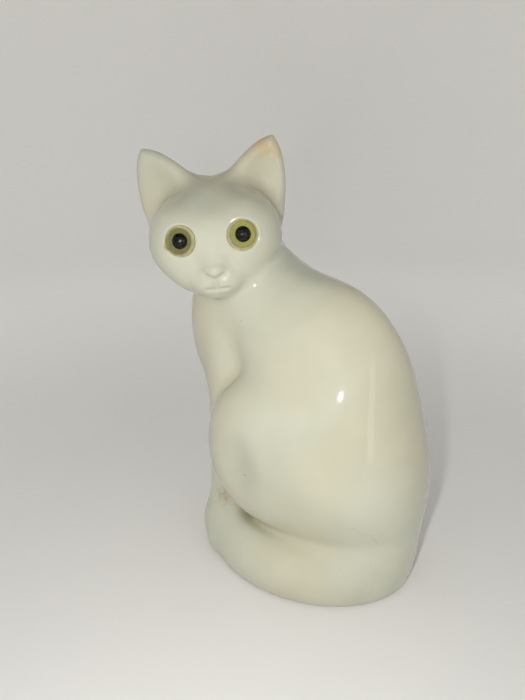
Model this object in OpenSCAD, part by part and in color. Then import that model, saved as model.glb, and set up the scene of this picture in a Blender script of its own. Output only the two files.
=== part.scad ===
/* [Figure] */
// Height of the cat from the table to its ear tips
figure_height = 242; // [200:1:300]
// Thickness of the cast ceramic wall
wall = 5.5; // [4.5:0.5:6.5]
// Diameter of the drain hole in the base
drain_d = 12; // [6:0.5:16]

/* [Head] */
// How far the head is turned to look back over the left shoulder, in degrees
head_turn = 119; // [100:1:125]
// How far the nose is raised, in degrees
head_pitch = 4; // [0:1:8]
// How far the head leans to its right, in degrees
head_lean = 6; // [0:1:10]

/* [Eyes] */
// Distance between the middles of the two eyes
eye_spacing = 31.6; // [30:0.1:33]
// Diameter of a glass eye
eye_d = 13; // [12:0.1:14]
// Diameter of the black bead that makes the pupil
pupil_d = 7.9; // [6.5:0.1:8.5]
// How far the glass bulges out of its rim
dome_rise = 4.3; // [3.8:0.1:5]
// Mean width of the ring of cement between the glass and the ceramic
cement_gap = 1.1; // [1:0.1:1.3]

/* [Colours] */
// Glaze of the body
glaze_colour = "ivory";
// Iris of the cat's left eye
left_iris_colour = "yellowgreen";
// Iris of the cat's right eye
right_iris_colour = "darkkhaki";

/* [Hidden] */
$fn = 64;

// Every size below belongs to a cat of this height, and the whole figure is scaled from it.
form_height = 242;
size_factor = figure_height / form_height;
left = 1;
right = -1;
drain_y = 24;

// ---- Eye sizes, measured along the eye's own axis from the rim of its socket ----
glass_r = eye_d / 2;
socket_r = glass_r + cement_gap;
socket_floor = -3.6;
lip_r = 4.8;
cement_bed = 0.5;
iris_t = 0.4;
iris_back = socket_floor + cement_bed;
glass_back = iris_back + iris_t;
glass_edge = 1.2;
dome_r = (glass_r * glass_r + dome_rise * dome_rise) / (2 * dome_rise);
pupil_r = pupil_d / 2;
pupil_depth = 2.3;
pupil_ball_r = (pupil_r * pupil_r + pupil_depth * pupil_depth) / (2 * pupil_depth);
cement_top = -1.2;
eye_height = 0.5;
eye_front = -29.8;
eye_splay = 8;
eye_rise = 5;
// The glass eyes were set by hand, so each sits a little outward in its socket.
function seat(side) = side == left ? [0.4, 0.3, 0] : [-0.7, 0, 0];

// ---- Head pose ----
head_middle = [13, -54, 191.5];

function pitched(v, a) = [v.x, v.y * cos(a) - v.z * sin(a), v.y * sin(a) + v.z * cos(a)];

module in_head() translate(head_middle) rotate([0, 0, head_turn]) rotate([-head_pitch, 0, 0])
    rotate([0, -head_lean, 0]) children();

// ---- Soft shapes: each function gives a point's distance from a form, negative inside ----
function egg(p, c, r, tilt = 0) =
    let (q = pitched(p - c, -tilt),
         k0 = norm([q.x / r.x, q.y / r.y, q.z / r.z]),
         k1 = norm([q.x / pow(r.x, 2), q.y / pow(r.y, 2), q.z / pow(r.z, 2)]))
    k1 < 0.00001 ? -min(r) : k0 * (k0 - 1) / k1;

// A bar with round ends that tapers from radius ra at a to rb at b.
function limb(p, a, b, ra, rb) =
    let (v = b - a, w = p - a, t = min(max(w * v / (v * v), 0), 1))
    norm(w - v * t) - (ra + (rb - ra) * t);

// Two forms run together with a fillet of width k, or one cut from the other.
function blend(a, b, k) = let (h = max(k - abs(a - b), 0) / k) min(a, b) - h * h * k / 4;
function carve(a, b, k) = -blend(-a, b, k);
function mirrored(p) = [abs(p.x), p.y, p.z];

// The trunk is widest low down: it narrows like a pear up to the shoulders, and a little down to the base.
function pear(p) =
    let (rise = min(max((p.z - 60) / 105, 0), 1),
         fall = min(max((75 - p.z) / 75, 0), 1))
    [p.x / (1 - 0.42 * rise * rise - 0.36 * pow(fall, 1.5)), p.y, p.z];

// The trunk: back, rump, shoulders, neck, withers, haunches, hind feet and the dimples behind the knees.
pear_gain = 0.95;
function trunk(p) =
    let (m = mirrored(p),
         back = egg(pear(p), [0, 12, 80], [47.5, 49.3, 84], -4) * pear_gain,
         rump = egg(pear(p), [0, 19.5, 55], [45.5, 49, 60]) * pear_gain,
         shoulder = egg(m, [10.5, -8, 128], [16, 27, 34]),
         neck = limb(p, [0, -14, 137], [1.5, -46, 174], 31.5, 25),
         withers = egg(p, [0, 6, 147], [15, 25, 18.5]),
         haunch = egg(m, [30, -11, 78], [21, 38, 44], 7),
         hind_foot = limb(m, [30, 18, 14], [29, -43, 9.5], 15, 9.5),
         seat = egg(p, [0, 14, 20], [38, 46, 24]),
         base = egg(p, [0, 1, 0], [43, 57, 20]),
         dimple = egg(m, [60, -23, 73], [9.5, 9, 19]),
         upper = blend(blend(blend(blend(back, rump, 16), shoulder, 20), neck, 20), withers, 14),
         lower = blend(blend(blend(blend(upper, haunch, 8), hind_foot, 8), seat, 10), base, 5))
    carve(lower, dimple, 14);

// The chest with both front legs and paws.
function front(p) =
    let (m = mirrored(p),
         chest = egg(p, [0, -43, 136], [27, 34.5, 52], 6),
         leg = limb(m, [16, -44.5, 125], [15, -47.5, 20], 12.6, 13),
         between_legs = limb(p, [0, -39, 120], [0, -43, 16], 12.5, 12),
         paw = egg(m, [15, -50, 12], [13, 13, 14]))
    blend(blend(blend(chest, leg, 9), between_legs, 5), paw, 6);

// The tail lies on an ellipse around the base, from behind the rump to the front paws.
tail_a = 35.8;
tail_b = 49.3;
tail_root = 120;
tail_tip = -112;
tail_r = 17.5;
function tail(p) =
    let (angle = min(max(atan2(p.y / tail_b, p.x / tail_a), tail_tip), tail_root),
         along = (tail_root - angle) / (tail_root - tail_tip),
         drop = min(max((0.6 - along) / 0.55, 0), 1),
         half_height = 19.8 + 34 * drop * drop,
         thick = tail_r - 3.2 * along * along,
         q = p - [tail_a * cos(angle), tail_b * sin(angle), 0.6 * half_height])
    norm([q.x, q.y, q.z * thick / half_height]) - thick;

// The tail runs softly into the front legs, and meets the trunk in a sharper crease.
function body(p) = blend(trunk(p), blend(front(p), tail(p), 14), 4);

// The head without its ears: -Y is the way the face looks.
function head(p) =
    let (m = mirrored(p),
         skull = egg(p, [0, 10, 2], [34, 34, 28]),
         eye_mound = egg(m, [14.5, -8, 2.5], [19.7, 22, 18.5]),
         cheek = egg(m, [13.5, -8.5, -7], [19.5, 19, 16]),
         between_eyes = egg(p, [0, -8, 0], [22, 21, 19]),
         muzzle = egg(p, [0, -14, -18.5], [20.5, 16, 12.5]),
         chin = egg(p, [0, -18, -24], [10, 10, 7]),
         nose = limb(p, [0, -19, 4], [0, -29.5, -14.5], 8, 4.4),
         nose_tip = egg(p, [0, -30.6, -16.2], [4.8, 4, 3.2]),
         lip = egg(m, [5, -25.4, -21], [7, 6, 5.6]),
         face = blend(blend(blend(eye_mound, cheek, 9), between_eyes, 4), muzzle, 11))
    blend(blend(blend(blend(blend(skull, face, 5), chin, 6), nose, 7), lip, 4), nose_tip, 2.5);

// One ear in its own axes: X across it, Y out of its front, Z from its root to its tip.
// The left ear is a little narrower than the right one on its outer side.
ear_root = [20.5, 9, 12.5];
ear_tip = [38.2, 8, 51.5];
ear_axis = ear_tip - ear_root;
ear_length = norm(ear_axis);
ear_up = ear_axis / ear_length;
ear_across = let (v = [1, 0.25, 0], w = v - (v * ear_up) * ear_up) w / norm(w);
ear_out = cross(ear_up, ear_across).y > 0 ? -cross(ear_up, ear_across) : cross(ear_up, ear_across);
function ear_narrowing(side) = side == left ? 1 : 0;
function ear(p, side) =
    let (t = p.z / ear_length,
         c = min(max(t, 0), 1),
         narrow = ear_narrowing(side),
         half_width = (t > 0 ? 20.5 * (1 - t) + 17.5 * c * (1 - c) : 20.5 + 0.25 * p.z) - narrow,
         outline = -blend(-max(abs(p.x + narrow) - half_width, -p.z - 20), ear_length - p.z, 13) * 0.87,
         plate = abs(p.y + 1.5) - 4.6 * (1 - 0.3 * c),
         scoop = egg(p, [0, 8.5, 9], [12, 8.5, ear_length - 15]))
    carve(-blend(-outline, -plate, 6), scoop, 3);

// ---- Finding the surface: a ray walks in from outside until it meets the form ----
walk_steps = 12;
walk_gain = 1.2;
longest_step_back = 6;
nearest = 0.3;
function form(kind, p) = kind == "body" ? body(p) : kind == "head" ? head(p) : ear(p, kind);
function meet(kind, from, way, reach, depth, steps = walk_steps) =
    steps == 0 ? from + way * reach
    : let (gap = form(kind, from + way * reach) + depth,
           step = max(walk_gain * gap, -longest_step_back))
    meet(kind, from, way, max(reach - step, nearest), depth, steps - 1);
function aim(turn, rise) = [cos(rise) * cos(turn), cos(rise) * sin(turn), sin(rise)];
function middle(ring) = [for (i = [0:2]) [for (p = ring) p[i]] * [for (p = ring) 1 / len(ring)]];

// Closes a stack of rings of points into a solid, with a fan over each end.
module skin(rings) {
    n = len(rings[0]);
    m = len(rings);
    points = [for (ring = rings) each ring, middle(rings[0]), middle(rings[m - 1])];
    sides = [for (i = [0:m - 2], j = [0:n - 1]) let (k = (j + 1) % n)
        each [[i * n + j, (i + 1) * n + j, (i + 1) * n + k], [i * n + j, (i + 1) * n + k, i * n + k]]];
    ends = [for (j = [0:n - 1]) let (k = (j + 1) % n)
        each [[m * n, j, k], [m * n + 1, (m - 1) * n + k, (m - 1) * n + j]]];
    polyhedron(points, concat(sides, ends), convexity = 10);
}

// Runs overlapping faceted forms into one skin, at their own size.
module one_skin() resize([0, 0, 0]) children();

// The body's rings are level up to the shoulders, then close over the neck like a dome.
shoulder_height = 146;
function spine(z) = [0, 6 - 18 * pow(z / shoulder_height, 2), z];
module body_form(depth, levels, domes, sides) {
    foot = depth;
    level_rings = [for (i = [0:levels]) let (s = i / levels, z = foot + (shoulder_height - foot) * pow(s, 1.25))
        [for (j = [0:sides - 1]) meet("body", spine(z), aim(360 * j / sides, 0), 95, depth)]];
    dome_rings = [for (i = [1:domes])
        [for (j = [0:sides - 1]) meet("body", spine(shoulder_height),
            aim(360 * j / sides, 90 * i / (domes + 0.5)), 90, depth)]];
    skin(concat(level_rings, dome_rings));
}

// The head's rings run around the axis through the nose.
module head_form(depth, rings, sides) {
    in_head() skin([for (i = [1:rings]) let (a = 180 * i / (rings + 1))
        [for (j = [0:sides - 1]) let (v = aim(360 * j / sides, 90 - a))
            meet("head", [0, 2, 0], [v.y, -v.z, v.x], 60, depth)]]);
}

// An ear's rings are stacked from inside the head up to its rounded tip.
ear_sunk = 14;
function ear_top(side) = ear_length - 4.15 - 0.6 * ear_narrowing(side);
module ear_form(side, rings, sides) {
    in_head() mirror([side == right ? 1 : 0, 0, 0]) multmatrix([for (i = [0:2])
        [ear_across[i], ear_out[i], ear_up[i], ear_root[i]]])
        skin([for (i = [0:rings]) let (h = -ear_sunk + (ear_top(side) + ear_sunk) * i / rings)
            [for (j = [0:sides - 1])
                meet(side, [-ear_narrowing(side), -1.7, h],
                    [cos(360 * j / sides), sin(360 * j / sides), 0], 30, 0)]]);
}

// ---- Pieces ----
module at_eye(side) in_head() translate([side * eye_spacing / 2, eye_front, eye_height])
    rotate([90 - eye_rise, 0, side * eye_splay]) children();

module at_glass(side) at_eye(side) translate(seat(side)) children();

module eye_socket(side) at_eye(side) {
    translate([0, 0, socket_floor]) cylinder(r = socket_r, h = 20);
    translate([0, 0, -20]) cylinder(r = lip_r, h = 20);
}

module ceramic_shell() color(glaze_colour) scale(size_factor) difference() {
    one_skin() {
        body_form(0, 31, 10, 60);
        head_form(0, 23, 42);
        for (side = [left, right]) ear_form(side, 14, 26);
    }
    one_skin() {
        body_form(wall, 14, 5, 28);
        head_form(wall, 10, 20);
    }
    for (side = [left, right]) eye_socket(side);
    translate([0, drain_y, -1]) cylinder(d = drain_d, h = wall + 8);
}

module eye_cement(side) color("cornsilk") scale(size_factor) difference() {
    at_eye(side) translate([0, 0, socket_floor]) cylinder(r = socket_r, h = cement_top - socket_floor);
    at_eye(side) translate([0, 0, -10]) cylinder(r = lip_r, h = 20);
    at_glass(side) translate([0, 0, iris_back]) cylinder(r = glass_r, h = 10);
}

module eye_iris(side) color(side == left ? left_iris_colour : right_iris_colour)
    scale(size_factor) at_glass(side) translate([0, 0, iris_back]) cylinder(r = glass_r, h = iris_t);

module pupil_shape() intersection() {
    translate([0, 0, glass_back + pupil_depth - pupil_ball_r]) sphere(pupil_ball_r);
    translate([0, 0, glass_back]) cylinder(r = glass_r, h = glass_r);
}

module eye_pupil(side) color("black") scale(size_factor) at_glass(side) pupil_shape();

module eye_glass(side) color("honeydew", 0.5) scale(size_factor) at_glass(side) difference() {
    intersection() {
        translate([0, 0, glass_back + glass_edge + dome_rise - dome_r]) sphere(dome_r);
        translate([0, 0, glass_back]) cylinder(r = glass_r, h = 2 * dome_r);
    }
    pupil_shape();
}

ceramic_shell();
eye_cement(left);  // left_eye_cement
eye_iris(left);  // left_eye_iris
eye_pupil(left);  // left_eye_pupil
eye_glass(left);  // left_eye_glass
eye_cement(right);  // right_eye_cement
eye_iris(right);  // right_eye_iris
eye_pupil(right);  // right_eye_pupil
eye_glass(right);  // right_eye_glass
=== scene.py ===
import math

import bmesh
import bpy
import numpy as np
from mathutils import Matrix, Vector


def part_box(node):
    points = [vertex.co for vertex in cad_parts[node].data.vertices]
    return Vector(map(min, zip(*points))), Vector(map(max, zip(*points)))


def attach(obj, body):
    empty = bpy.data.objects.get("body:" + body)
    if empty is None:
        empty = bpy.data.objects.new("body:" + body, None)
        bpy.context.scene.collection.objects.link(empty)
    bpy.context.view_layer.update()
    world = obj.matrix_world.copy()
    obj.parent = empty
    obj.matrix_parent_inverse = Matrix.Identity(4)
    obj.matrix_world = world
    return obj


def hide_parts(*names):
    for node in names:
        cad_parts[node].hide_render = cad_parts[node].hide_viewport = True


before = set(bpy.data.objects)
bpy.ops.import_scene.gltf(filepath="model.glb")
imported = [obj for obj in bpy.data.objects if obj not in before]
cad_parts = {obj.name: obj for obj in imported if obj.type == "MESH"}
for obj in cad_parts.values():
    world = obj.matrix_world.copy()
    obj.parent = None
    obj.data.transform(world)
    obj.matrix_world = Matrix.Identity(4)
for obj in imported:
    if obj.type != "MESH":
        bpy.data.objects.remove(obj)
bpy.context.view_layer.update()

# The cat is sculpted in millimetres as a smooth field: every function below gives each point's
# distance from a form, negative inside it. One mesh is then drawn along the field's zero level.
FORM_HEIGHT = 242.0
LEFT = 1
RIGHT = -1
SIDES = {LEFT: "left", RIGHT: "right"}
shell_low, shell_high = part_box("ceramic_shell")
SCALE = (shell_high.z - shell_low.z) / FORM_HEIGHT

# ---- Head pose, eyes, wall and drain hole, in millimetres and degrees ----
HEAD_MIDDLE = np.array([13.0, -54.0, 191.5])
HEAD_TURN = 119.0
HEAD_PITCH = 4.0
HEAD_LEAN = 6.0
EYE_SPLAY = 8.0
EYE_RISE = 5.0
WALL = 5.5
# Depths in a socket are measured along the eye's axis, from the middle of the socket's rim.
SOCKET_FLOOR = -3.6
CEMENT_BED = 0.5
IRIS_THICKNESS = 0.4
LIP_R = 4.8
CEMENT_GAP = 1.1
CEMENT_TOP = -1.2
SOCKET_EDGE = 1.3
# Each glass was set by hand, a little outward in its socket: across and up.
SEAT = {LEFT: (0.4, 0.3), RIGHT: (-0.7, 0.0)}
DRAIN_R = 6.0
DRAIN_Y = 24.0


def turn_x(degrees):
    return np.array(Matrix.Rotation(math.radians(degrees), 3, "X"))


def turn_y(degrees):
    return np.array(Matrix.Rotation(math.radians(degrees), 3, "Y"))


def turn_z(degrees):
    return np.array(Matrix.Rotation(math.radians(degrees), 3, "Z"))


HEAD_AXES = turn_z(HEAD_TURN) @ turn_x(-HEAD_PITCH) @ turn_y(-HEAD_LEAN)


def to_head(p):
    """World points in the head's own axes: X to its left, -Y the way the face looks."""
    return (p - HEAD_MIDDLE) @ HEAD_AXES


def from_head(p):
    return HEAD_MIDDLE + np.asarray(p, float) @ HEAD_AXES.T


def node_middle(name):
    """The middle of a CAD node, in the sculpt's millimetres."""
    low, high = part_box(name)
    return np.array((low + high) / 2) / SCALE


class Eye:
    """Where one glass eye sits: the middle of its socket's rim and the axis that it looks along."""

    def __init__(self, side):
        self.side = side
        self.name = SIDES[side] + "_eye"
        local = turn_z(side * EYE_SPLAY) @ turn_x(90 - EYE_RISE)
        self.axes = HEAD_AXES @ local
        self.out = self.axes[:, 2]
        iris_middle = SOCKET_FLOOR + CEMENT_BED + IRIS_THICKNESS / 2
        self.seat = np.array([*SEAT[side], 0.0])
        self.rim = node_middle(self.name + "_iris") - self.axes @ (self.seat + [0, 0, iris_middle])
        # The glass's widest circle, measured from its box along the axis of the eye.
        low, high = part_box(self.name + "_iris")
        across = np.array(high - low) / SCALE
        tilt = np.sqrt(np.clip(1 - self.out**2, 0, 1))
        widest = int(np.argmax(tilt))
        self.glass_r = (across[widest] - IRIS_THICKNESS * abs(self.out[widest])) / (2 * tilt[widest])
        self.socket_r = self.glass_r + CEMENT_GAP

    def local(self, p):
        return (p - self.rim) @ self.axes

    def world(self, p):
        return self.rim + np.asarray(p, float) @ self.axes.T


EYES = {side: Eye(side) for side in SIDES}


# ---- Field tools ----
def egg(p, middle, radii, tilt=0.0):
    """An ellipsoid, tilted about X by that many degrees."""
    q = p - np.array(middle, float)
    if tilt:
        q = q @ turn_x(tilt)
    radii = np.array(radii, float)
    k0 = np.linalg.norm(q / radii, axis=1)
    k1 = np.linalg.norm(q / radii**2, axis=1)
    return k0 * (k0 - 1) / np.maximum(k1, 1e-9)


def limb(p, a, b, ra, rb):
    """A bar with round ends that tapers from radius ra at a to rb at b."""
    a = np.array(a, float)
    v = np.array(b, float) - a
    w = p - a
    t = np.clip(w @ v / (v @ v), 0, 1)
    return np.linalg.norm(w - t[:, None] * v, axis=1) - (ra + (rb - ra) * t)


def blend(a, b, k):
    """Two forms run together with a fillet of width k."""
    h = np.maximum(k - np.abs(a - b), 0) / k
    return np.minimum(a, b) - h * h * k / 4


def carve(a, b, k):
    """The first form with the second cut out of it, the cut's edge rounded by k."""
    return -blend(-a, b, k)


def meet(a, b, k):
    """What two forms have in common, rounded by k."""
    return -blend(-a, -b, k)


def mirrored(p):
    return np.column_stack([np.abs(p[:, 0]), p[:, 1], p[:, 2]])


# ---- The cat ----
NARROWS_ABOVE = 60.0
NARROWS_UP_TO = 165.0
NARROWS_BELOW = 75.0
SHOULDER_NARROWING = 0.42
BASE_NARROWING = 0.36
# The narrowing makes the field steeper. The gain brings its values back towards millimetres.
PEAR_GAIN = 0.95


def pear(p):
    """The trunk is widest low down: it narrows up to the shoulders, and a little down to the base."""
    rise = np.clip((p[:, 2] - NARROWS_ABOVE) / (NARROWS_UP_TO - NARROWS_ABOVE), 0, 1)
    fall = np.clip((NARROWS_BELOW - p[:, 2]) / NARROWS_BELOW, 0, 1)
    width = 1 - SHOULDER_NARROWING * rise**2 - BASE_NARROWING * fall**1.5
    return np.column_stack([p[:, 0] / width, p[:, 1], p[:, 2]])


def trunk(p):
    """Back, rump, shoulders, neck, haunches, hind feet and base, with a dimple in each haunch."""
    m = mirrored(p)
    back = egg(pear(p), (0, 12, 80), (47.5, 49.3, 84), -4) * PEAR_GAIN
    rump = egg(pear(p), (0, 19.5, 55), (45.5, 49, 60)) * PEAR_GAIN
    shoulder = egg(m, (6, -8, 128), (14, 27, 34))
    neck = limb(p, (0, -14, 137), (1.5, -46, 174), 31.5, 25)
    withers = egg(p, (0, 6, 147), (15, 25, 18.5))
    haunch = egg(m, (30, -11, 78), (21, 38, 44), 7)
    hind_foot = limb(m, (30, 18, 14), (29, -43, 9.5), 15, 9.5)
    seat = egg(p, (0, 14, 20), (38, 46, 24))
    base = egg(p, (0, 1, 0), (43, 57, 20))
    dimple = egg(m, (60, -23, 73), (11, 9.5, 19))
    d = blend(blend(blend(blend(back, rump, 16), shoulder, 20), neck, 20), withers, 14)
    d = blend(blend(blend(blend(d, haunch, 8), hind_foot, 8), seat, 10), base, 5)
    return carve(d, dimple, 14)


def front(p):
    """The chest with both front legs and paws."""
    m = mirrored(p)
    chest = egg(p, (0, -43, 136), (27, 34.5, 52), 6)
    leg = limb(m, (16, -44.5, 125), (15, -45.5, 20), 12.6, 13)
    between_legs = limb(p, (0, -39, 120), (0, -41, 16), 12, 9)
    paw = egg(m, (15, -48, 12), (13, 13, 14))
    return blend(blend(blend(chest, leg, 9), between_legs, 5), paw, 6)


def toe_lines(p):
    """The two grooves down the front of each paw."""
    m = mirrored(p)
    inner = limb(m, (10.5, -66, 13), (10.5, -64, 2), 1.2, 1.2)
    outer = limb(m, (18, -64.8, 12), (18, -62.8, 2), 1.2, 1.2)
    return np.minimum(inner, outer)


TAIL_A = 35.8
TAIL_B = 49.3
TAIL_ROOT = 120.0
TAIL_TIP = -112.0
TAIL_R = 17.5
TAIL_TAPER = 3.2
TAIL_HALF_HEIGHT = 19.8
TAIL_ROOT_RISE = 34.0


def tail(p):
    """The tail lies on an ellipse around the base, taller than it is thick and tallest at its root."""
    angle = np.degrees(np.arctan2(p[:, 1] / TAIL_B, p[:, 0] / TAIL_A))
    angle = np.clip(angle, TAIL_TIP, TAIL_ROOT)
    along = (TAIL_ROOT - angle) / (TAIL_ROOT - TAIL_TIP)
    # From 1 near the root to 0 a little past halfway along.
    drop = np.clip((0.6 - along) / 0.55, 0, 1)
    half_height = TAIL_HALF_HEIGHT + TAIL_ROOT_RISE * drop**2
    thick = TAIL_R - TAIL_TAPER * along**2
    turn = np.radians(angle)
    core = np.column_stack([TAIL_A * np.cos(turn), TAIL_B * np.sin(turn), 0.6 * half_height])
    q = p - core
    q[:, 2] *= thick / half_height
    return np.linalg.norm(q, axis=1) - thick


def head(q):
    """The head without its ears, in its own axes."""
    m = mirrored(q)
    skull = egg(q, (0, 10, 2), (34, 34, 28))
    eye_mound = egg(m, (14.5, -8, 2.5), (19.7, 22, 18.5))
    cheek = egg(m, (13.5, -8.5, -7), (19.5, 19, 16))
    between_eyes = egg(q, (0, -8, 0), (22, 21, 19))
    muzzle = egg(q, (0, -14, -18.5), (20.5, 16, 12.5))
    chin = egg(q, (0, -18, -24), (10, 10, 7))
    nose = limb(q, (0, -19, 4), (0, -29.5, -14.5), 8, 4.4)
    nose_tip = egg(q, (0, -30.6, -16.2), (4.8, 4, 3.2))
    lip = egg(m, (5, -25.4, -21), (7, 6, 5.6))
    face = blend(blend(blend(eye_mound, cheek, 9), between_eyes, 4), muzzle, 11)
    d = blend(blend(skull, face, 5), chin, 6)
    d = blend(blend(blend(d, nose, 7), lip, 4), nose_tip, 2.5)
    nostril = limb(m, (0.3, -34.1, -20.4), (4.6, -32.8, -17.6), 0.5, 0.5)
    philtrum = limb(q, (0, -33.1, -20.4), (0, -31.4, -23.5), 0.4, 0.4)
    mouth = limb(m, (0, -30.1, -25.6), (5, -30.2, -25.2), 0.2, 0.2)
    return carve(carve(carve(d, nostril, 3), philtrum, 2), mouth, 2.5)


EAR_ROOT = np.array([20.5, 9.0, 12.5])
EAR_TIP = np.array([38.2, 8.0, 51.5])
EAR_HALF_WIDTH = 20.5
EAR_SIDE_BULGE = 17.5
EAR_HALF_THICK = 4.6
EAR_GAIN = 0.87


def ear_axes():
    """The ear's length, and its axes as columns: across it, out of its front, and up to its tip."""
    up = EAR_TIP - EAR_ROOT
    length = np.linalg.norm(up)
    up = up / length
    across = np.array([1, 0.25, 0]) - (np.array([1, 0.25, 0]) @ up) * up
    across = across / np.linalg.norm(across)
    out = np.cross(up, across)
    out = out if out[1] < 0 else -out
    return length, np.column_stack([across, out, up])


EAR_LENGTH, EAR_AXES = ear_axes()


def ear(q):
    """Both ears, in the head's axes. The left one is a little narrower on its outer side."""
    p = (mirrored(q) - EAR_ROOT) @ EAR_AXES
    t = p[:, 2] / EAR_LENGTH
    c = np.clip(t, 0, 1)
    narrow = np.where(q[:, 0] > 0, 1.0, 0.0)
    above_root = EAR_HALF_WIDTH * (1 - t) + EAR_SIDE_BULGE * c * (1 - c)
    below_root = EAR_HALF_WIDTH + 0.25 * p[:, 2]
    half_width = np.where(t > 0, above_root, below_root) - narrow
    sides = np.maximum(np.abs(p[:, 0] + narrow) - half_width, -p[:, 2] - 20)
    outline = meet(sides, p[:, 2] - EAR_LENGTH, 13) * EAR_GAIN
    plate = np.abs(p[:, 1] + 1.5) - EAR_HALF_THICK * (1 - 0.3 * c)
    scoop = egg(p, (0, 8.5, 9), (12, 8.5, EAR_LENGTH - 15))
    return carve(meet(outline, plate, 6), scoop, 3)


def figure(p):
    """The whole cat before its eye sockets are cut."""
    q = to_head(p)
    d = blend(trunk(p), blend(front(p), tail(p), 14), 4)
    d = carve(d, toe_lines(p), 2.5)
    d = blend(d, blend(head(q), ear(q), 8), 5)
    return meet(d, -p[:, 2], 2)


def cat(p):
    """The glazed outside of the cat, with its eye sockets and drain hole sunk into it."""
    d = figure(p)
    for eye in EYES.values():
        q = eye.local(p)
        across = np.hypot(q[:, 0], q[:, 1])
        socket = np.maximum(across - eye.socket_r, SOCKET_FLOOR - q[:, 2])
        d = carve(d, socket, SOCKET_EDGE)
    return d


def cavity(p):
    """The hollow inside, with the ways out of it through the eye sockets and the drain hole."""
    d = figure(p) + WALL
    for eye in EYES.values():
        q = eye.local(p)
        # From 22 mm behind the socket's rim to 2 mm behind it.
        way_out = np.maximum(np.hypot(q[:, 0], q[:, 1]) - LIP_R, np.abs(q[:, 2] + 12) - 10)
        d = np.minimum(d, way_out)
    # From 2 mm under the base to 10 mm above it.
    drain = np.hypot(p[:, 0], p[:, 1] - DRAIN_Y) - DRAIN_R
    drain = np.maximum(drain, np.abs(p[:, 2] - 4) - 6)
    return np.minimum(d, drain)


# ---- Drawing a mesh along a field's zero level ----
def sample(field, points, block=300000):
    return np.concatenate([field(points[i : i + block]) for i in range(0, len(points), block)])


def slope(field, points, step=0.2):
    """The field's gradient, by central differences."""
    parts = []
    for axis in np.eye(3):
        parts.append(sample(field, points + step * axis) - sample(field, points - step * axis))
    return np.column_stack(parts) / (2 * step)


def settle(field, points, rounds=3):
    """Moves points onto the field's zero level."""
    for _ in range(rounds):
        g = slope(field, points)
        d = sample(field, points)
        # Where the field is nearly flat, the step is kept short.
        points = points - g * (d / np.maximum((g * g).sum(1), 0.2))[:, None]
    return points


def near_surface(field, low, count, pitch, coarse=4):
    """The fine grid's values: exact near the surface, elsewhere a coarse one with the right sign."""
    blocks = [-(-n // coarse) + 1 for n in count]
    axes = [low[i] + pitch * coarse * np.arange(blocks[i]) for i in range(3)]
    grid = np.stack(np.meshgrid(*axes, indexing="ij"), -1)
    rough = sample(field, grid.reshape(-1, 3)).reshape(blocks)
    reach = 2.2 * coarse * pitch
    near = np.abs(rough) < reach
    values = np.repeat(np.repeat(np.repeat(rough, coarse, 0), coarse, 1), coarse, 2)
    wanted = np.repeat(np.repeat(np.repeat(near, coarse, 0), coarse, 1), coarse, 2)
    values = values[: count[0], : count[1], : count[2]].copy()
    cells = np.argwhere(wanted[: count[0], : count[1], : count[2]])
    values[tuple(cells.T)] = sample(field, low + pitch * cells)
    return values


def surface_net(field, low, high, pitch):
    """Vertices and quads along the field's zero level: one vertex in each grid cell that it crosses."""
    low = np.array(low, float)
    count = [int(math.ceil((high[i] - low[i]) / pitch)) + 1 for i in range(3)]
    values = near_surface(field, low, count, pitch)
    inside = values < 0
    shape = [n - 1 for n in count]
    total = np.zeros(shape + [3])
    crossings = np.zeros(shape)
    for corner in np.ndindex(2, 2, 2):
        for axis in range(3):
            if corner[axis]:
                continue
            other = list(corner)
            other[axis] = 1
            a = values[tuple(slice(c, c + n) for c, n in zip(corner, shape))]
            b = values[tuple(slice(c, c + n) for c, n in zip(other, shape))]
            crossed = (a < 0) != (b < 0)
            place = np.zeros(shape + [3])
            place[...] = corner
            place[..., axis] += np.where(crossed, a / np.where(crossed, a - b, 1), 0)
            total += place * crossed[..., None]
            crossings += crossed
    cells = np.argwhere(crossings > 0)
    number = np.full(shape, -1)
    number[tuple(cells.T)] = np.arange(len(cells))
    picked = tuple(cells.T)
    vertices = low + pitch * (cells + total[picked] / crossings[picked][:, None])
    quads = []
    for axis in range(3):
        first, second = (axis + 1) % 3, (axis + 2) % 3
        here = inside[tuple(slice(0, -1) if i == axis else slice(None) for i in range(3))]
        there = inside[tuple(slice(1, None) if i == axis else slice(None) for i in range(3))]
        edges = np.argwhere(here != there)
        one = np.eye(3, dtype=int)[first]
        other = np.eye(3, dtype=int)[second]
        around = (np.zeros(3, int), one, one + other, other)
        ring = np.column_stack([number[tuple((edges - step).T)] for step in around])
        outward = here[tuple(edges.T)]
        quads.append(np.where(outward[:, None], ring, ring[:, ::-1]))
    return vertices, np.concatenate(quads)


def shade_smooth(mesh):
    mesh.polygons.foreach_set("use_smooth", [True] * len(mesh.polygons))


def mesh_object(name, vertices, faces):
    """A smooth-shaded mesh object from points in the sculpt's millimetres."""
    mesh = bpy.data.meshes.new(name)
    mesh.from_pydata((np.asarray(vertices) * SCALE).tolist(), [], [list(map(int, f)) for f in faces])
    shade_smooth(mesh)
    mesh.update()
    piece = bpy.data.objects.new(name, mesh)
    bpy.context.scene.collection.objects.link(piece)
    return piece


def points_of(mesh):
    """A mesh's points, in the sculpt's millimetres."""
    flat = np.empty(len(mesh.vertices) * 3)
    mesh.vertices.foreach_get("co", flat)
    return flat.reshape(-1, 3) / SCALE


def put_points(mesh, points):
    mesh.vertices.foreach_set("co", (points * SCALE).ravel())
    mesh.update()


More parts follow.
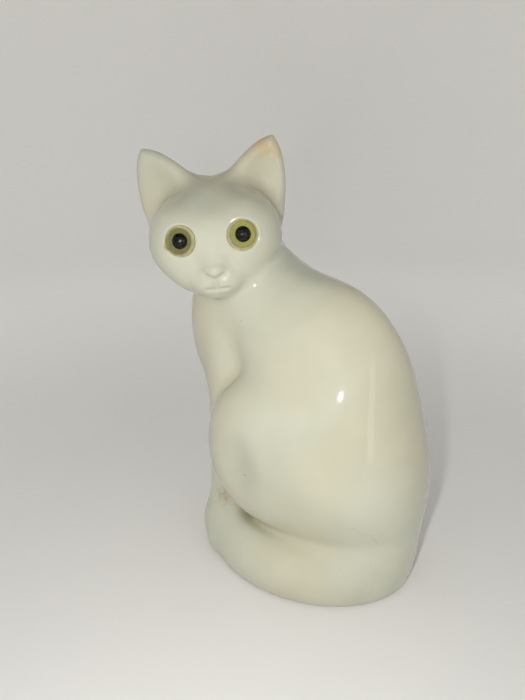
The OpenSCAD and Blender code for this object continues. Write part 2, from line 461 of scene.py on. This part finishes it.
def refine(piece, chosen):
    """Splits the faces all of whose corners are chosen into four."""
    bm = bmesh.new()
    bm.from_mesh(piece.data)
    bm.verts.ensure_lookup_table()
    picked = chosen(points_of(piece.data))
    faces = [f for f in bm.faces if all(picked[v.index] for v in f.verts)]
    edges = {e for f in faces for e in f.edges}
    bmesh.ops.subdivide_edges(bm, edges=list(edges), cuts=1, use_grid_fill=True)
    bmesh.ops.triangulate(bm, faces=[f for f in bm.faces if len(f.verts) > 4])
    bm.to_mesh(piece.data)
    bm.free()
    shade_smooth(piece.data)


def relax(piece, chosen, rounds=3):
    """Evens out the chosen points, each moving halfway to the middle of its neighbours."""
    bm = bmesh.new()
    bm.from_mesh(piece.data)
    bm.verts.ensure_lookup_table()
    picked = chosen(points_of(piece.data))
    loose = [v for v in bm.verts if picked[v.index]]
    every_axis = {"use_axis_x": True, "use_axis_y": True, "use_axis_z": True}
    for _ in range(rounds):
        bmesh.ops.smooth_vert(bm, verts=loose, factor=0.5, **every_axis)
    bm.to_mesh(piece.data)
    bm.free()


def store(mesh, name, values):
    """Keeps a number at each point of a mesh for its material to read."""
    attribute = mesh.attributes.new(name, "FLOAT", "POINT")
    attribute.data.foreach_set("value", np.asarray(values, np.float32))


# ---- Materials ----
class Paint:
    """A material with a short way to add and join its nodes."""

    def __init__(self, name):
        self.material = bpy.data.materials.new(name)
        self.material.use_nodes = True
        self.tree = self.material.node_tree
        self.tree.nodes.clear()
        self.output = self.tree.nodes.new("ShaderNodeOutputMaterial")

    def add(self, kind, settings=None, **inputs):
        """A node; inputs are numbers or colours, or sockets to join, by name with _ for a space."""
        node = self.tree.nodes.new("ShaderNode" + kind)
        for key, value in (settings or {}).items():
            setattr(node, key, value)
        for key, value in inputs.items():
            self.set(node, key.replace("_", " "), value)
        return node

    def set(self, node, key, value):
        """Sets or joins one input, found by its name or by # and its number."""
        socket = node.inputs[int(key[1:])] if key[0] == "#" else node.inputs[key]
        if isinstance(value, bpy.types.NodeSocket):
            self.tree.links.new(value, socket)
        elif hasattr(value, "__len__") and len(value) == 3 and socket.type == "RGBA":
            socket.default_value = (*value, 1)
        else:
            socket.default_value = value

    def math(self, operation, a, b=0.0):
        node = self.add("Math", {"operation": operation})
        self.set(node, "#0", a)
        self.set(node, "#1", b)
        return node.outputs[0]

    def ramp(self, value, low, high, start=0.0, end=1.0):
        """value mapped smoothly from low..high to start..end."""
        node = self.add("MapRange", {"interpolation_type": "SMOOTHSTEP"}, Value=value)
        self.set(node, "From Min", low)
        self.set(node, "From Max", high)
        self.set(node, "To Min", start)
        self.set(node, "To Max", end)
        return node.outputs[0]

    def mix(self, amount, a, b):
        """Colour a with that amount of colour b mixed in."""
        node = self.add("Mix", {"data_type": "RGBA"})
        self.set(node, "#0", amount)
        self.set(node, "#6", a)
        self.set(node, "#7", b)
        return node.outputs[2]

    def place(self):
        return self.add("TexCoord").outputs["Object"]

    def noise(self, scale, detail=3.0, roughness=0.5, place=None):
        node = self.add("TexNoise", Vector=place or self.place(), Scale=scale)
        self.set(node, "Detail", detail)
        self.set(node, "Roughness", roughness)
        return node.outputs["Fac"]

    def kept(self, name):
        """The number that was stored at each point of the mesh under that name."""
        return self.add("Attribute", {"attribute_name": name}).outputs["Fac"]

    def bump(self, height, strength, distance):
        node = self.add("Bump", Height=height, Strength=strength, Distance=distance)
        return node.outputs["Normal"]

    def surface(self, shader):
        self.tree.links.new(shader, self.output.inputs["Surface"])
        return self.material


def glaze_colour(paint):
    """Cream white with cloudy tones, warmer in some areas and cooler in others, and darker in hollows,
    partly where the glaze pools and partly painted shade.
    """
    tone = paint.ramp(paint.noise(22, 3), 0.3, 0.7)
    warm = paint.mix(tone, (0.475, 0.457, 0.34), (0.53, 0.51, 0.39))
    cool = paint.mix(tone, (0.465, 0.47, 0.375), (0.515, 0.52, 0.42))
    colour = paint.mix(paint.ramp(paint.noise(13, 2), 0.4, 0.6), warm, cool)
    # Painted shade: hollows go darker, partly for the glaze that pools there and partly for the shade
    # that falls there.
    pooled_glaze_and_shade = paint.ramp(paint.kept("hollow"), 0.25, 0.95, 0.0, 0.75)
    return paint.mix(pooled_glaze_and_shade, colour, (0.36, 0.33, 0.205))


def stained(paint, colour):
    """Iron brown on the tip of the left ear and dirt in the crease in front of the left haunch."""
    patch = paint.noise(95, 4, 0.6)
    stain = paint.math("MULTIPLY", paint.kept("ear_stain"), paint.ramp(patch, 0.35, 0.62))
    colour = paint.mix(stain, colour, (0.52, 0.33, 0.08))
    grime = paint.math("MULTIPLY", paint.kept("crease_stain"), paint.ramp(patch, 0.25, 0.5))
    return paint.mix(grime, colour, (0.25, 0.16, 0.05))


def crazed(paint, colour, place):
    """Faint hairlines between tall irregular cells, in some areas only and hardly at all on the head."""
    wander = paint.add("TexNoise", Vector=place, Scale=45)
    bent = paint.add("MixRGB", {"blend_type": "ADD"})
    paint.set(bent, "#0", 0.008)
    paint.set(bent, "#1", place)
    paint.set(bent, "#2", wander.outputs["Color"])
    tall = paint.add("Mapping", Vector=bent.outputs[0])
    paint.set(tall, "Scale", (1.0, 1.0, 0.55))
    cells = paint.add("TexVoronoi", {"feature": "DISTANCE_TO_EDGE"}, Vector=tall.outputs[0], Scale=52)
    line = paint.ramp(cells.outputs["Distance"], 0.002, 0.010, 1.0, 0.0)
    area = paint.ramp(paint.noise(14, 2), 0.48, 0.62)
    height = paint.add("SeparateXYZ", Vector=place).outputs["Z"]
    strength = paint.ramp(height, 0.14, 0.17, 0.15, 0.03)
    craze = paint.math("MULTIPLY", paint.math("MULTIPLY", line, area), strength)
    return paint.mix(craze, colour, (0.36, 0.31, 0.18))


def specked(paint, colour, place):
    """A few of the many small cells hold one dark dot."""
    dots = paint.add("TexVoronoi", {"feature": "F1"}, Vector=place, Scale=170)
    dot = paint.ramp(dots.outputs["Distance"], 0.05, 0.11, 1.0, 0.0)
    lucky = paint.add("SeparateColor", Color=dots.outputs["Color"])
    dot = paint.math("MULTIPLY", dot, paint.math("GREATER_THAN", lucky.outputs[0], 0.982))
    return paint.mix(paint.math("MULTIPLY", dot, 0.7), colour, (0.12, 0.09, 0.05))


def glaze_paint():
    """Cream-white glaze over pottery, a little wavy, with a clear polished coat."""
    paint = Paint("glazed_ceramic")
    place = paint.place()
    colour = stained(paint, glaze_colour(paint))
    colour = specked(paint, crazed(paint, colour, place), place)
    waves = paint.bump(paint.noise(55, 2), 0.12, 0.0008)
    shader = paint.add("BsdfPrincipled", Base_Color=colour, Normal=waves)
    paint.set(shader, "Roughness", 0.5)
    paint.set(shader, "Specular IOR Level", 0.12)
    paint.set(shader, "Coat Weight", 1.0)
    paint.set(shader, "Coat Roughness", 0.06)
    paint.set(shader, "Coat IOR", 1.5)
    return paint.surface(shader.outputs[0])


def cement_paint():
    """Old cream cement, grainy and slightly shiny."""
    paint = Paint("eye_cement")
    tone = paint.ramp(paint.noise(400, 4), 0.35, 0.65)
    colour = paint.mix(tone, (0.34, 0.30, 0.15), (0.44, 0.395, 0.24))
    rough = paint.bump(paint.noise(900, 3), 0.4, 0.0002)
    shader = paint.add("BsdfPrincipled", Base_Color=colour, Normal=rough)
    paint.set(shader, "Roughness", 0.35)
    return paint.surface(shader.outputs[0])


def iris_paint(name, inner, body, outer):
    """Enamel behind the glass: three rings of colour from the pupil outward, softly mottled."""
    paint = Paint(name)
    out = paint.kept("out")
    place = paint.add("CombineXYZ", X=paint.kept("across"), Y=paint.kept("upward")).outputs[0]
    colour = paint.mix(paint.ramp(out, 0.60, 0.74), inner, body)
    colour = paint.mix(paint.ramp(out, 0.86, 0.97), colour, outer)
    mottle = paint.ramp(paint.noise(0.9, 4, 0.6, place), 0.35, 0.65, 0.0, 0.35)
    colour = paint.mix(mottle, colour, tuple(0.6 * c for c in body))
    shader = paint.add("BsdfPrincipled", Base_Color=colour)
    paint.set(shader, "Roughness", 0.35)
    return paint.surface(shader.outputs[0])


def pupil_paint():
    """Black glass, all but matt, because the clear glass in front of it has the polish."""
    paint = Paint("pupil_glass")
    depth = paint.ramp(paint.noise(300, 2), 0.3, 0.7)
    colour = paint.mix(depth, (0.003, 0.003, 0.004), (0.009, 0.008, 0.007))
    shader = paint.add("BsdfPrincipled", Base_Color=colour)
    paint.set(shader, "Roughness", 0.25)
    paint.set(shader, "IOR", 1.1)
    return paint.surface(shader.outputs[0])


def clear_glass_paint():
    """Clear glass that lets light through to the iris, with a polished surface."""
    paint = Paint("eye_glass")
    smear = paint.ramp(paint.noise(260, 3), 0.35, 0.75, 0.05, 0.10)
    clear = paint.add("BsdfTransparent", Color=(0.95, 0.97, 0.90))
    gloss = paint.add("BsdfGlossy", Color=(1.0, 1.0, 1.0), Roughness=smear)
    # The share mirrored rises with the fifth power of the slant, the same from both sides of the glass.
    slant = paint.add("LayerWeight", Blend=0.5).outputs["Facing"]
    edge = paint.math("MULTIPLY", paint.math("POWER", slant, 5.0), 0.5)
    both = paint.add("MixShader")
    paint.set(both, "#0", paint.math("ADD", edge, 0.02))
    paint.set(both, "#1", clear.outputs[0])
    paint.set(both, "#2", gloss.outputs[0])
    return paint.surface(both.outputs[0])


def dress(piece, material):
    piece.data.materials.clear()
    piece.data.materials.append(material)


# ---- Pieces ----
# The sculpt's grids: how far apart their points are, and how far they reach past the shell's box.
PITCH = 1.55
CAVITY_PITCH = 3.2
GRID_MARGIN = 3.8


def in_face(p):
    """In the face or the ears."""
    q = to_head(p)
    face = (q[:, 1] < -4) & (np.abs(q[:, 0]) < 36) & (np.abs(q[:, 2] + 4) < 30)
    ears = (np.abs(q[:, 0]) > 14) & (q[:, 2] > 14)
    return face | ears


def in_fine_face(p):
    """Close to an eye socket's rim, the nose or the mouth."""
    q = to_head(p)
    near = (np.abs(q[:, 0]) < 10) & (np.abs(q[:, 2] + 19) < 9) & (q[:, 1] < -20)
    for eye in EYES.values():
        r = eye.local(p)
        near |= (np.abs(np.hypot(r[:, 0], r[:, 1]) - eye.socket_r) < 3.2) & (np.abs(r[:, 2]) < 9)
    return near


def fit_to_cad(piece):
    """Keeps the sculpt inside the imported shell's box, a hair smaller because that shell is faceted."""
    points = points_of(piece.data)
    low, high = points.min(0), points.max(0)
    cad_low, cad_high = np.array(shell_low) / SCALE, np.array(shell_high) / SCALE
    inner_low, inner_high = np.maximum(low, cad_low), np.minimum(high, cad_high)
    put_points(piece.data, inner_low + (points - low) / (high - low) * (inner_high - inner_low))


def hollow_out(shell, tool):
    """Cuts the cavity out of the shell and removes the tool."""
    cut = shell.modifiers.new("cavity", "BOOLEAN")
    cut.operation = "DIFFERENCE"
    cut.solver = "MANIFOLD"
    cut.object = tool
    bpy.context.view_layer.objects.active = shell
    bpy.ops.object.modifier_apply(modifier=cut.name)
    bpy.data.objects.remove(tool)


def make_shell():
    """The whole hollow cat, meshed finer on its head and finest around its eyes, nose and mouth."""
    low = np.array(shell_low) / SCALE - GRID_MARGIN
    high = np.array(shell_high) / SCALE + GRID_MARGIN
    vertices, faces = surface_net(cat, low, high, PITCH)
    shell = mesh_object("glazed_cat", settle(cat, vertices), faces)
    for chosen in (in_face, in_fine_face):
        relax(shell, chosen)
        refine(shell, chosen)
        put_points(shell.data, settle(cat, points_of(shell.data)))
    vertices, faces = surface_net(cavity, low, high, CAVITY_PITCH)
    tool = mesh_object("cavity_tool", vertices, faces)
    hollow_out(shell, tool)
    shade_shell(shell.data)
    fit_to_cad(shell)
    shade_smooth(shell.data)
    return shell


def fading(p, middle, radius):
    """1 at the middle, fading out over the radius."""
    return np.exp(-(((p - middle) ** 2).sum(1)) / radius**2)


def shade_shell(mesh):
    """Where the glaze pools and shade is painted darker, and where it is stained, kept at each point for
    the material.
    """
    p = points_of(mesh)
    g = slope(figure, p)
    g /= np.maximum(np.linalg.norm(g, axis=1, keepdims=True), 1e-6)
    # The field a little way out from a point is lower where the surface around it is hollow.
    reach = 6.0
    openness = sample(figure, p + reach * g) / reach
    # This hollowness darkens the glaze: partly pooled glaze, partly painted shade.
    store(mesh, "hollow", np.clip(1.05 - openness, 0, 1))
    ear_stain = from_head(EAR_TIP + np.array([-3.0, -1.0, -7.0]))
    crease_stain = np.array([31.8, -41.5, 40.5])
    store(mesh, "ear_stain", fading(p, ear_stain, 9.0))
    store(mesh, "crease_stain", fading(p, crease_stain, 6.0))


RING_SIDES = 72


def ring_mesh(name, points):
    """Joins equal rows of points, one row for each side of a ring, into a closed tube around it."""
    rows = len(points) // RING_SIDES
    faces = []
    for j in range(RING_SIDES):
        k = (j + 1) % RING_SIDES
        for i in range(rows):
            n = (i + 1) % rows
            faces.append((j * rows + i, k * rows + i, k * rows + n, j * rows + n))
    return mesh_object(name, points, faces)


def make_cement(eye):
    """The bed behind the glass and the bead squeezed up around it, uneven as it was left by hand."""
    back = SOCKET_FLOOR + CEMENT_BED
    bead = 8
    drop_turn = math.radians(200 if eye.side == RIGHT else 245)
    drop_size = 1.0 if eye.side == RIGHT else 0.3
    drop_width = 0.25
    points = []
    for j in range(RING_SIDES):
        turn = 2 * math.pi * j / RING_SIDES
        way = np.array([math.cos(turn), math.sin(turn), 0.0])
        inner = eye.seat + eye.glass_r * way
        outer = eye.socket_r * way
        swell = 0.18 * math.sin(2 * turn + eye.side) + 0.10 * math.sin(5 * turn + 1.3 * eye.side)
        past_drop = math.remainder(turn - drop_turn, 2 * math.pi) / drop_width
        drop = drop_size * math.exp(-(past_drop**2))
        points.append(LIP_R * way + [0, 0, back])
        points.append(LIP_R * way + [0, 0, SOCKET_FLOOR])
        points.append(outer + [0, 0, SOCKET_FLOOR])
        for i in range(bead):
            s = i / (bead - 1)
            crown = math.sin(math.pi * min(1.0, 0.12 + s))
            rise = CEMENT_TOP + 0.9 * (1 - s) + crown * (0.15 + 0.7 * swell + 0.9 * drop)
            spread = way * drop * 1.1 * (1 - s) ** 2
            points.append(outer + (inner - outer) * s + spread + [0, 0, rise])
        points.append(inner + [0, 0, back])
    return ring_mesh(eye.name + "_cement_bead", eye.world(points))


def make_iris(eye):
    """A shallow dish of enamel, sunk a little towards the pupil, just clear of the glass and cement."""
    clear = 0.01
    back = SOCKET_FLOOR + CEMENT_BED + clear
    front = SOCKET_FLOOR + CEMENT_BED + IRIS_THICKNESS - clear
    rings = 14
    hub = 0.3
    edge = 0.998
    points = []
    for j in range(RING_SIDES):
        turn = 2 * math.pi * j / RING_SIDES
        way = eye.glass_r * np.array([math.cos(turn), math.sin(turn), 0.0])
        for i in range(rings + 1):
            s = hub + (edge - hub) * i / rings
            points.append(eye.seat + s * way + [0, 0, front - 0.2 * (1 - s) ** 1.5])
        points.append(eye.seat + edge * way + [0, 0, back])
        points.append(eye.seat + hub * way + [0, 0, back])
    piece = ring_mesh(eye.name + "_iris_dish", eye.world(points))
    q = eye.local(points_of(piece.data)) - eye.seat
    store(piece.data, "out", np.hypot(q[:, 0], q[:, 1]) / eye.glass_r)
    store(piece.data, "across", q[:, 0])
    store(piece.data, "upward", q[:, 1])
    return piece


shell = make_shell()
dress(shell, glaze_paint())
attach(shell, "root")
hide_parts("ceramic_shell")

# Three rings of colour for each iris, from the pupil outward.
IRIS_COLOURS = {
    LEFT: ((0.20, 0.18, 0.03), (0.26, 0.225, 0.005), (0.30, 0.255, 0.02)),
    RIGHT: ((0.14, 0.125, 0.055), (0.175, 0.155, 0.055), (0.23, 0.20, 0.09)),
}
cement_material = cement_paint()
pupil_material = pupil_paint()
glass_material = clear_glass_paint()
for side, eye in EYES.items():
    cement = make_cement(eye)
    dress(cement, cement_material)
    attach(cement, "root")
    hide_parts(eye.name + "_cement")
    iris = make_iris(eye)
    slot_name = SIDES[side] + "_iris_enamel"
    dress(iris, iris_paint(slot_name, *IRIS_COLOURS[side]))
    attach(iris, "root")
    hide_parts(eye.name + "_iris")
    dress(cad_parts[eye.name + "_pupil"], pupil_material)
    dress(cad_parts[eye.name + "_glass"], glass_material)


# ---- Stage, lights and camera ----
def make_stage():
    """A pale floor that sweeps up into a wall all round."""
    flat, sweep, top = 0.9, 0.6, 1.7
    steps = 12
    profile = [(0.0, 0.0), (0.3, 0.0), (flat, 0.0)]
    for i in range(1, steps + 1):
        turn = math.radians(90 * i / steps)
        profile.append((flat + sweep * math.sin(turn), sweep * (1 - math.cos(turn))))
    profile.append((flat + sweep, top))
    sides = 96
    vertices = [(0.0, 0.0, 0.0)]
    for r, z in profile[1:]:
        for j in range(sides):
            turn = 2 * math.pi * j / sides
            vertices.append((r * math.cos(turn), r * math.sin(turn), z))
    faces = [(0, 1 + j, 1 + (j + 1) % sides) for j in range(sides)]
    for i in range(len(profile) - 2):
        for j in range(sides):
            k = (j + 1) % sides
            a, b = 1 + i * sides, 1 + (i + 1) * sides
            faces.append((a + j, b + j, b + k, a + k))
    mesh = bpy.data.meshes.new("studio_floor")
    mesh.from_pydata(vertices, [], faces)
    shade_smooth(mesh)
    floor = bpy.data.objects.new("studio_floor", mesh)
    bpy.context.scene.collection.objects.link(floor)
    paint = Paint("studio_floor")
    shader = paint.add("BsdfPrincipled", Base_Color=(0.74, 0.73, 0.70))
    paint.set(shader, "Roughness", 0.8)
    dress(floor, paint.surface(shader.outputs[0]))


def aim(thing, place, target):
    thing.location = place
    thing.rotation_euler = (Vector(target) - Vector(place)).to_track_quat("-Z", "Y").to_euler()


def softbox(name, place, target, size, power, mirrored_in_glaze=True):
    """A rectangular lamp that the camera doesn't see, and that the glaze may or may not reflect."""
    light = bpy.data.lights.new(name, "AREA")
    light.shape = "RECTANGLE"
    light.size, light.size_y = size
    light.energy = power
    lamp = bpy.data.objects.new(name, light)
    bpy.context.scene.collection.objects.link(lamp)
    lamp.visible_camera = False
    lamp.visible_glossy = mirrored_in_glaze
    aim(lamp, place, target)


# The camera's place, in metres from the middle of the base, and the way that it is turned from there.
CAMERA_AZIMUTH = math.radians(115)
CAMERA_DISTANCE = 0.312
CAMERA_HEIGHT = 0.245
CAMERA_DOWN = math.radians(20.3)
CAMERA_ASIDE = math.radians(5.23)
# Its focal length, over the height of the picture.
LENS_RATIO = 6 / 7
SENSOR = 36.0


def make_camera():
    """The camera stands close behind the cat's left shoulder and looks a little down and past it."""
    lens = bpy.data.cameras.new("camera")
    lens.sensor_fit = "VERTICAL"
    lens.sensor_height = SENSOR
    lens.lens = SENSOR * LENS_RATIO
    lens.clip_start = 0.01
    camera = bpy.data.objects.new("camera", lens)
    bpy.context.scene.collection.objects.link(camera)
    away = Vector((math.sin(CAMERA_AZIMUTH), -math.cos(CAMERA_AZIMUTH), 0))
    place = away * CAMERA_DISTANCE + Vector((0, 0, CAMERA_HEIGHT))
    ahead = Matrix.Rotation(CAMERA_ASIDE, 3, "Z") @ -away
    look = ahead * math.cos(CAMERA_DOWN) - Vector((0, 0, math.sin(CAMERA_DOWN)))
    aim(camera, place, place + look)
    bpy.context.scene.camera = camera
    return place, away


def light_stage(place, away):
    """Lights for a camera at that place, which is that way from the cat."""
    middle = Vector((0, -0.01, 0.11))
    across = away.cross(Vector((0, 0, 1)))
    # The key light is small and just left of the camera, so it glints in the glaze and the eyes.
    softbox("key_softbox", place + away * 0.02 + across * 0.035, middle, (0.015, 0.015), 0.82)
    softbox("overhead_softbox", middle + Vector((0, 0, 0.9)), middle, (1.1, 1.1), 0.25)
    # A tall strip to the right draws a faint upright line down the glazed flank.
    strip_place = away * 0.72 - across * 0.46 + Vector((0, 0, 0.33))
    softbox("strip_softbox", strip_place, middle, (0.12, 0.6), 0.25)
    # Four more, turned away from the cat, keep the floor and the wall pale all round.
    for i in range(4):
        way = Matrix.Rotation(math.radians(90 * i), 3, "Z") @ away
        lamp_place = way * 0.45 + Vector((0, 0, 0.9))
        wall_place = way * 1.45 + Vector((0, 0, 0.2))
        softbox("wall_softbox", lamp_place, wall_place, (0.9, 0.3), 4.8, mirrored_in_glaze=False)
    world = bpy.data.worlds.new("studio")
    world.use_nodes = True
    world.node_tree.nodes["Background"].inputs["Color"].default_value = (1, 1, 1, 1)
    world.node_tree.nodes["Background"].inputs["Strength"].default_value = 0.08
    bpy.context.scene.world = world
    bpy.context.scene.view_settings.view_transform = "Standard"


make_stage()
light_stage(*make_camera())
